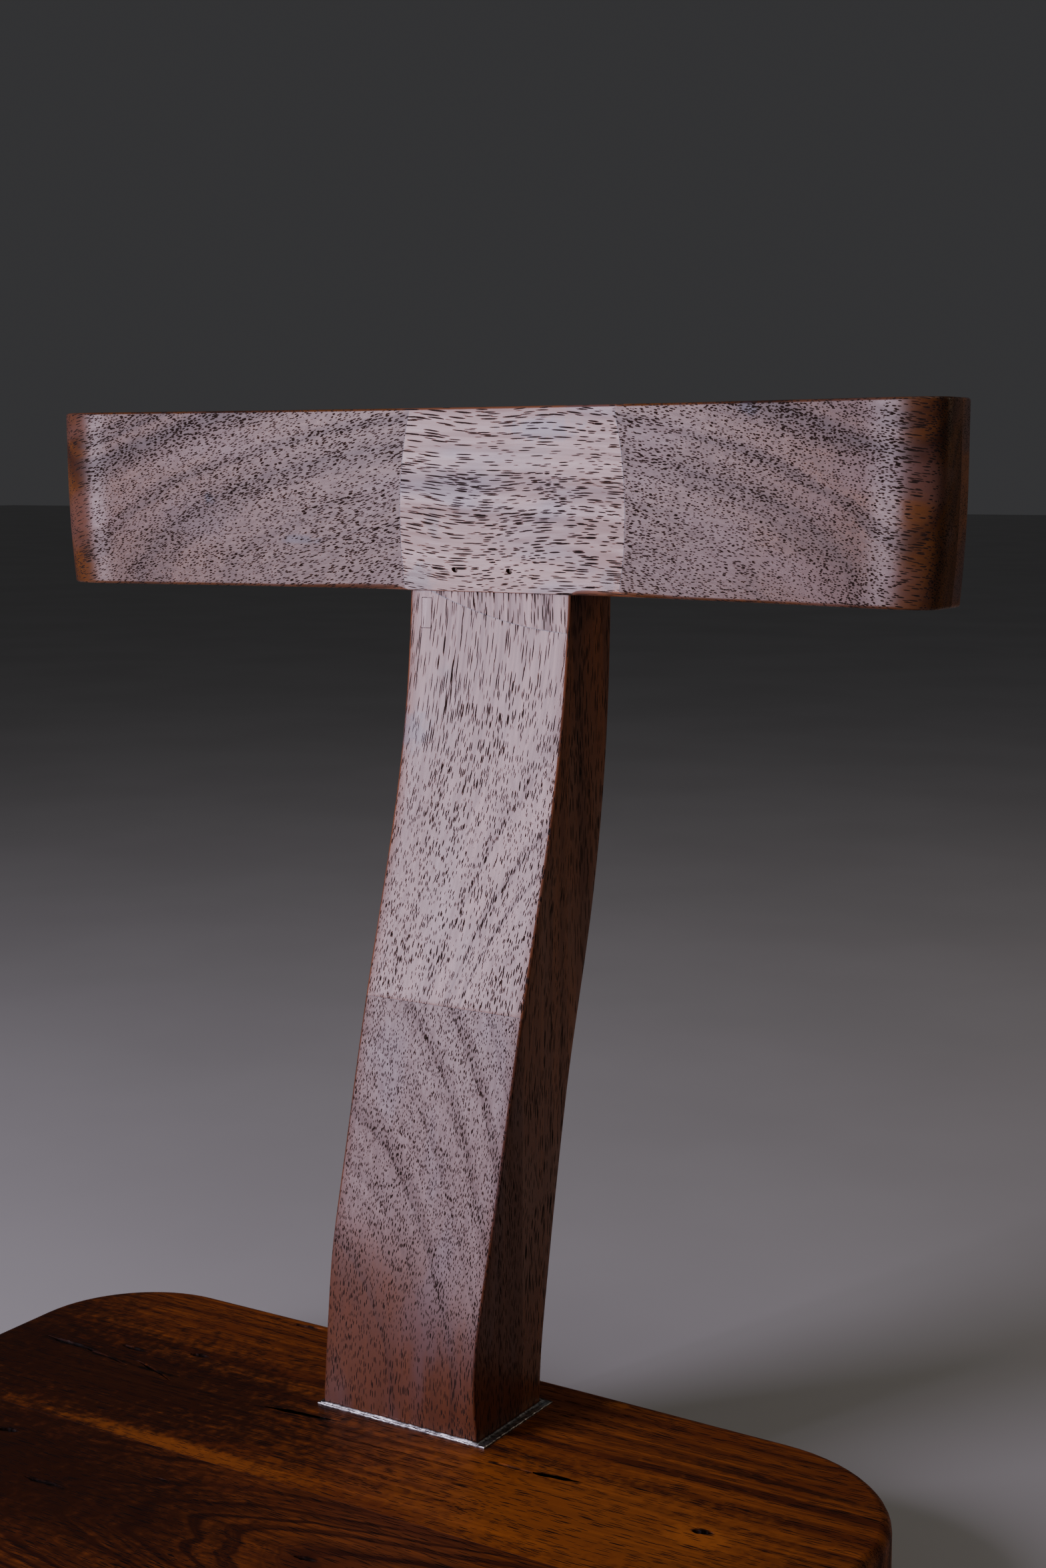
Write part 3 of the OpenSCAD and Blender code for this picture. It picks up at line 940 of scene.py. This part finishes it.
CREST_WOOD = {"stain": (0.16, 0.075, 0.055, 1), "pore": PORE, "planes": (CREST_GLUE,)}
WING_WOOD = {
    **CREST_WOOD, "pith": WING_PITH, "axis": (1, 0, 0), "ring": 5, "rings": WING_RINGS,
    "wobble": 6, "light": (0.200, 0.072, 0.018, 1), "dark": (0.050, 0.018, 0.010, 1),
    "gap": 0.68, "length": 7, "size": 0.37, "shine": 0.34,
}
BOARD_WOOD = {
    "pore": DARK_PORE, "rough": 0.40, "shine": 0.15, "streaks": 0.7, "length": 14, "gap": 0.72,
    "size": 0.3, "checked": True,
}

WOODS = {
    "crest_back_ply": {
        **CREST_WOOD, "grain": (1, 0.012, -0.03), "pith": (0, 260, 380), "ring": 14, "wander": 7,
        "light": (0.31, 0.118, 0.048, 1), "dark": (0.23, 0.086, 0.038, 1), "stain": BLUE_GREY,
        "length": 14, "gap": 0.84, "size": 0.36, "streaks": 0.3, "crowding": 0.12, "shine": 0.56,
        "marks": (
            ((-38, 200, 423), (11, 9, 12), BROWN_SMEAR, 0.8),
            ((-30, 200, 449), (5, 9, 9), BROWN_SMEAR, 0.6),
            ((66, 198, 424), (6, 9, 9), BROWN_SMEAR, 0.7),
            ((30, 200, 493), (26, 9, 7), BLUE_GREY, 0.8),
            ((20, 200, 480), (22, 9, 9), BROWN_SMEAR, 0.3),
        ),
    },
    "crest_left_wing": {
        **WING_WOOD, "grain": (1, -0.14, 0.24),
        "marks": (
            ((-154, 190, 461), (4, 9, 4), INK, 0.95),
            ((-104, 195, 441), (15, 9, 3.2), INK, 0.65),
            ((-163, 190, 451), (24, 30, 14), (0.10, 0.046, 0.036, 1), 0.5),
        ),
    },
    "crest_right_wing": {
        **WING_WOOD, "grain": (1, 0.16, -0.12),
        "marks": (((140, 190, 500), (7, 9, 4), INK, 0.8),),
    },
    "post_front_ply": {
        "grain": (0.02, 0.0, 1), "pith": (-56, -7, 120), "axis": (0, 0, 1), "ring": 4,
        "rings": FRONT_PLY_RINGS, "wobble": 2, "wander": 2, "streaks": 0.4, "rough": 0.28,
        "light": (0.165, 0.052, 0.020, 1), "dark": (0.100, 0.032, 0.016, 1),
        "stain": (0.15, 0.075, 0.068, 1), "pore": PORE, "planes": (FRONT_GLUE,),
        "size": 0.37, "gap": 0.62, "length": 6, "crowding": 0.25, "shine": 0.42,
    },
    "post_middle_ply": {
        "grain": (0.07, 0.09, 1), "pith": (62, 104, 240), "axis": (0, 0, 1), "ring": 6,
        "rings": MIDDLE_PLY_RINGS, "wobble": 2,
        "gap": 0.74, "length": 16, "size": 0.37, "streaks": 0.4, "shine": 0.45,
        "light": (0.285, 0.100, 0.042, 1), "dark": (0.11, 0.038, 0.022, 1), "crowding": 0.45,
        "stain": (0.22, 0.10, 0.066, 1), "pore": PORE, "planes": (FRONT_GLUE, REAR_GLUE),
        "marks": (((-38, 200, 352), (14, 20, 13), BLUE_GREY, 0.7),
                  ((-21, 201, 380), (7, 9, 4), BROWN_SMEAR, 0.5)),
    },
    "post_rear_ply": {
        "grain": (-0.04, 0.02, 1), "pith": (-60, 150, 240), "ring": 8, "gap": 0.76, "length": 14,
        "size": 0.37, "shine": 0.45,
        "light": (0.285, 0.100, 0.042, 1), "dark": (0.15, 0.052, 0.026, 1),
        "stain": (0.22, 0.10, 0.064, 1), "pore": PORE, "planes": (REAR_GLUE,),
    },
    "post_patch": {
        "grain": (0.05, 0.03, 1), "pith": (20, 90, 240), "ring": 10,
        "light": (0.31, 0.125, 0.062, 1), "dark": (0.21, 0.084, 0.045, 1),
        "stain": (0.22, 0.10, 0.066, 1), "pore": PORE,
    },
    "board_rear_plank": {
        **BOARD_WOOD, "grain": (1, 0.03, 0.02), "pith": (0, 250, -10), "ring": 9, "wander": 5,
        "light": (0.32, 0.086, 0.013, 1), "dark": (0.080, 0.018, 0.004, 1),
        "stain": (0.15, 0.034, 0.006, 1), "planes": (BOARD_GLUE,),
        "marks": (
            # Painted shade: the two broad red-brown blotches darken the plank's left part.
            ((-150, 92, 30), (200, 82, 60), RED_BROWN, 0.92),
            ((-236, 90, 30), (80, 150, 60), RED_BROWN, 0.8),
            # Painted light: the broad gold blotch brightens the plank's right part.
            ((120, 84, 30), (130, 60, 60), GOLD, 0.4),
            ((168, 96, 42), (20, 12, 20), GOLD, 0.7),
            ((175, 157, 42), (70, 3.5, 20), RED_BROWN, 0.75),
            ((76, 191, 42), (9, 5, 9), GOLD, 0.8),
            ((-66, 49, 42), (90, 8, 20), GOLD, 0.45),
            ((167, 101, 42), (7, 3, 8), RED_BROWN, 0.95),
            *check_shade_marks(REAR_CHECKS),
        ),
    },
    "board_middle_plank": {
        **BOARD_WOOD, "grain": (1, 0.0, 0.03), "pith": (0, -6, -18), "axis": (1, 0, 0.16),
        "ring": 3.4, "wobble": 10, "wander": 5,
        "light": (0.22, 0.058, 0.011, 1), "dark": (0.035, 0.008, 0.003, 1),
        "stain": (0.11, 0.026, 0.007, 1), "planes": (BOARD_GLUE,),
        "marks": (
            # Painted shade: the two broad red-brown blotches darken the plank's left part and middle.
            ((-170, 0, 30), (180, 100, 60), RED_BROWN, 0.92),
            ((-80, -10, 30), (130, 60, 60), RED_BROWN, 0.7),
            *check_shade_marks(MIDDLE_CHECKS),
        ),
    },
    "board_front_plank": {
        **BOARD_WOOD, "grain": (1, -0.02, -0.02), "pith": (0, -230, -30), "ring": 9,
        "light": (0.20, 0.052, 0.011, 1), "dark": (0.08, 0.019, 0.005, 1),
        "stain": (0.11, 0.027, 0.007, 1), "checked": False,
    },
    "crest_tenon": {
        "grain": (0, 0, 1), "pith": (0, 150, 400), "ring": 8,
        "light": (0.24, 0.11, 0.06, 1), "dark": (0.13, 0.058, 0.038, 1),
        "stain": BLUE_GREY, "pore": PORE,
    },
}


def finish_piece(piece, cad_node, body, material):
    """Gives a piece its finish and lets it stand for its CAD node."""
    soften(piece)
    piece.data.materials.clear()
    piece.data.materials.append(material)
    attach(piece, body)
    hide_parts(cad_node)


def finish_wood(piece, cad_node, body):
    """Finishes a piece with the wood listed under its CAD node."""
    finish_piece(piece, cad_node, body, wood(cad_node + "_wood", **WOODS[cad_node]))


def front_of(glue):
    """The cut that keeps what is in front of a glue line."""
    return glue[0], glue[1]


def rear_of(glue):
    """The cut that keeps what is behind a glue line."""
    return glue[0], -glue[1]


def build_crest():
    """The back ply and the two wings, with the brads' holes and the tenon's room."""
    crest = make_crest()
    middle = CREST_GLUE[0]
    back = slice_piece(crest, "back_ply", [rear_of(CREST_GLUE)])
    carve(back, brad_holes())
    carve(back, block(TENON_LOW, TENON_HIGH))
    left = slice_piece(crest, "left_wing", [front_of(CREST_GLUE), (middle, Vector((1, 0, 0)))])
    right = slice_piece(crest, "right_wing", [front_of(CREST_GLUE), (middle, Vector((-1, 0, 0)))])
    bpy.data.objects.remove(crest)
    finish_wood(back, "crest_back_ply", "headrest")
    finish_wood(left, "crest_left_wing", "headrest")
    finish_wood(right, "crest_right_wing", "headrest")


def build_post():
    """The three plies and the patch, which is what the patch's room shares with the post."""
    post = make_post()
    front = slice_piece(post, "front_ply", [front_of(FRONT_GLUE)])
    middle = slice_piece(post, "middle_ply", [rear_of(FRONT_GLUE), front_of(REAR_GLUE)])
    rear = slice_piece(post, "rear_ply", [rear_of(REAR_GLUE)])
    for ply in (middle, rear):
        carve(ply, patch_block(PATCH_GAP))
    carve(rear, block(TENON_LOW, TENON_HIGH))
    carve(post, patch_block(0), "INTERSECT")
    post.name = "patch"
    finish_wood(front, "post_front_ply", "headrest")
    finish_wood(middle, "post_middle_ply", "headrest")
    finish_wood(rear, "post_rear_ply", "headrest")
    finish_wood(post, "post_patch", "headrest")


def socket_block():
    """The room of the socket, through the rear plank's top."""
    x, low_y, high_y = POST_W / 2 + SLEEVE, FOOT_Y - SLEEVE, FOOT_Y + POST_D + SLEEVE
    return block((-x, low_y, FOOT_BOTTOM - SLEEVE_GAP), (x, high_y, BOARD_TOP + CUT_OVERSHOOT))


def build_board():
    """The three planks, with the socket and the open checks."""
    board = make_board()
    front_line = ((0, FRONT_PLANK_HIGH.y, 0), REARWARD)
    rear = slice_piece(board, "rear_plank", [rear_of(BOARD_GLUE)])
    middle = slice_piece(board, "middle_plank", [front_of(BOARD_GLUE), rear_of(front_line)])
    front = slice_piece(board, "front_plank", [front_of(front_line)])
    bpy.data.objects.remove(board)
    carve(rear, socket_block())
    for plank, checks in ((rear, REAR_CHECKS), (middle, MIDDLE_CHECKS)):
        for index, check in enumerate(checks):
            carve(plank, spindle(index, *check))
    finish_wood(rear, "board_rear_plank", "base")
    finish_wood(middle, "board_middle_plank", "base")
    finish_wood(front, "board_front_plank", "base")


def dress_hidden_nodes():
    """The tenon and the brads keep their CAD shape."""
    for name, material in (("crest_tenon", wood("tenon_wood", **WOODS["crest_tenon"])),
                           ("tenon_brads", dull_steel())):
        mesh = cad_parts[name].data
        mesh.materials.clear()
        mesh.materials.append(material)


# ---- Studio ----

# Metres, radians, and millimetres for the lens
CAMERA_AT = Vector((0.5641, -0.6689, 0.4761))
CAMERA_YAW, CAMERA_PITCH, CAMERA_ROLL = 0.5601, 0.1419, -0.0027
SENSOR, LENS = 36.0, 51.135
# Softboxes: place and aim in metres, width, height, watts and colour
COOL, WARM, NEAR_WHITE = (0.86, 0.78, 1.0), (1.0, 0.78, 0.56), (1.0, 0.98, 0.96)
HOLLOW_AT = (0.0, 0.18, 0.44)
SOFTBOXES = {
    "key": ((-0.83, -1.06, 0.66), HOLLOW_AT, 0.52, 0.80, 21, COOL),
    "edge": ((-0.49, -1.06, 0.66), HOLLOW_AT, 0.04, 0.80, 2.4, COOL),
    "rim": ((1.5, 1.3, 1.1), (0.0, 0.15, 0.3), 0.5, 0.9, 3, WARM),
    "top": ((0.2, 0.1, 2.3), (0.0, 0.2, 0.0), 1.6, 1.6, 5, NEAR_WHITE),
}
WORLD_GREY = (0.04, 0.04, 0.042, 1)
FLOOR_SIZE = 40.0
FLOOR_DARK, FLOOR_LIGHT = (0.50, 0.49, 0.475, 1), (0.54, 0.53, 0.515, 1)


def make_camera():
    """The camera, in front of the headrest and to its right."""
    data = bpy.data.cameras.new("camera")
    data.sensor_width, data.lens = SENSOR, LENS
    camera = bpy.data.objects.new("camera", data)
    turn = (
        Matrix.Rotation(CAMERA_YAW, 4, "Z")
        @ Matrix.Rotation(math.pi / 2 - CAMERA_PITCH, 4, "X")
        @ Matrix.Rotation(CAMERA_ROLL, 4, "Z")
    )
    camera.matrix_world = Matrix.Translation(CAMERA_AT) @ turn
    bpy.context.scene.collection.objects.link(camera)
    bpy.context.scene.camera = camera


def softbox(name, at, aim, width, height, power, colour):
    """A rectangular area light that faces a point."""
    data = bpy.data.lights.new(name, "AREA")
    data.shape, data.size, data.size_y = "RECTANGLE", width, height
    data.energy, data.color = power, colour
    light = bpy.data.objects.new(name, data)
    light.location = at
    light.rotation_euler = (Vector(aim) - Vector(at)).to_track_quat("-Z", "Y").to_euler()
    bpy.context.scene.collection.objects.link(light)


def make_floor():
    """A wide pale floor, only for the picture."""
    bm = bmesh.new()
    bmesh.ops.create_grid(bm, x_segments=1, y_segments=1, size=FLOOR_SIZE / 2 / MM)
    floor = new_object("floor", bm)
    material, tree, shader = start_material("pale_floor")
    here = node(tree, "ShaderNodeTexCoord", output="Object")
    mottle = noise_at(tree, here, (3, 3, 3), detail=4.0)
    colour = blend(tree, span(tree, mottle, 0.3, 0.7), FLOOR_DARK, FLOOR_LIGHT)
    tree.links.new(colour, shader.inputs["Base Color"])
    shader.inputs["Roughness"].default_value = 0.7
    floor.data.materials.append(material)


def make_studio():
    """A dim grey world, the softboxes and the floor."""
    world = bpy.data.worlds.new("studio")
    bpy.context.scene.world = world
    world.use_nodes = True
    background = world.node_tree.nodes["Background"]
    background.inputs["Color"].default_value = WORLD_GREY
    background.inputs["Strength"].default_value = 1.0
    for name, settings in SOFTBOXES.items():
        softbox(name, *settings)
    make_floor()


make_camera()
make_studio()
build_crest()
build_post()
build_board()
finish_piece(make_liner(), "socket_liner", "base", sheet_metal())
dress_hidden_nodes()
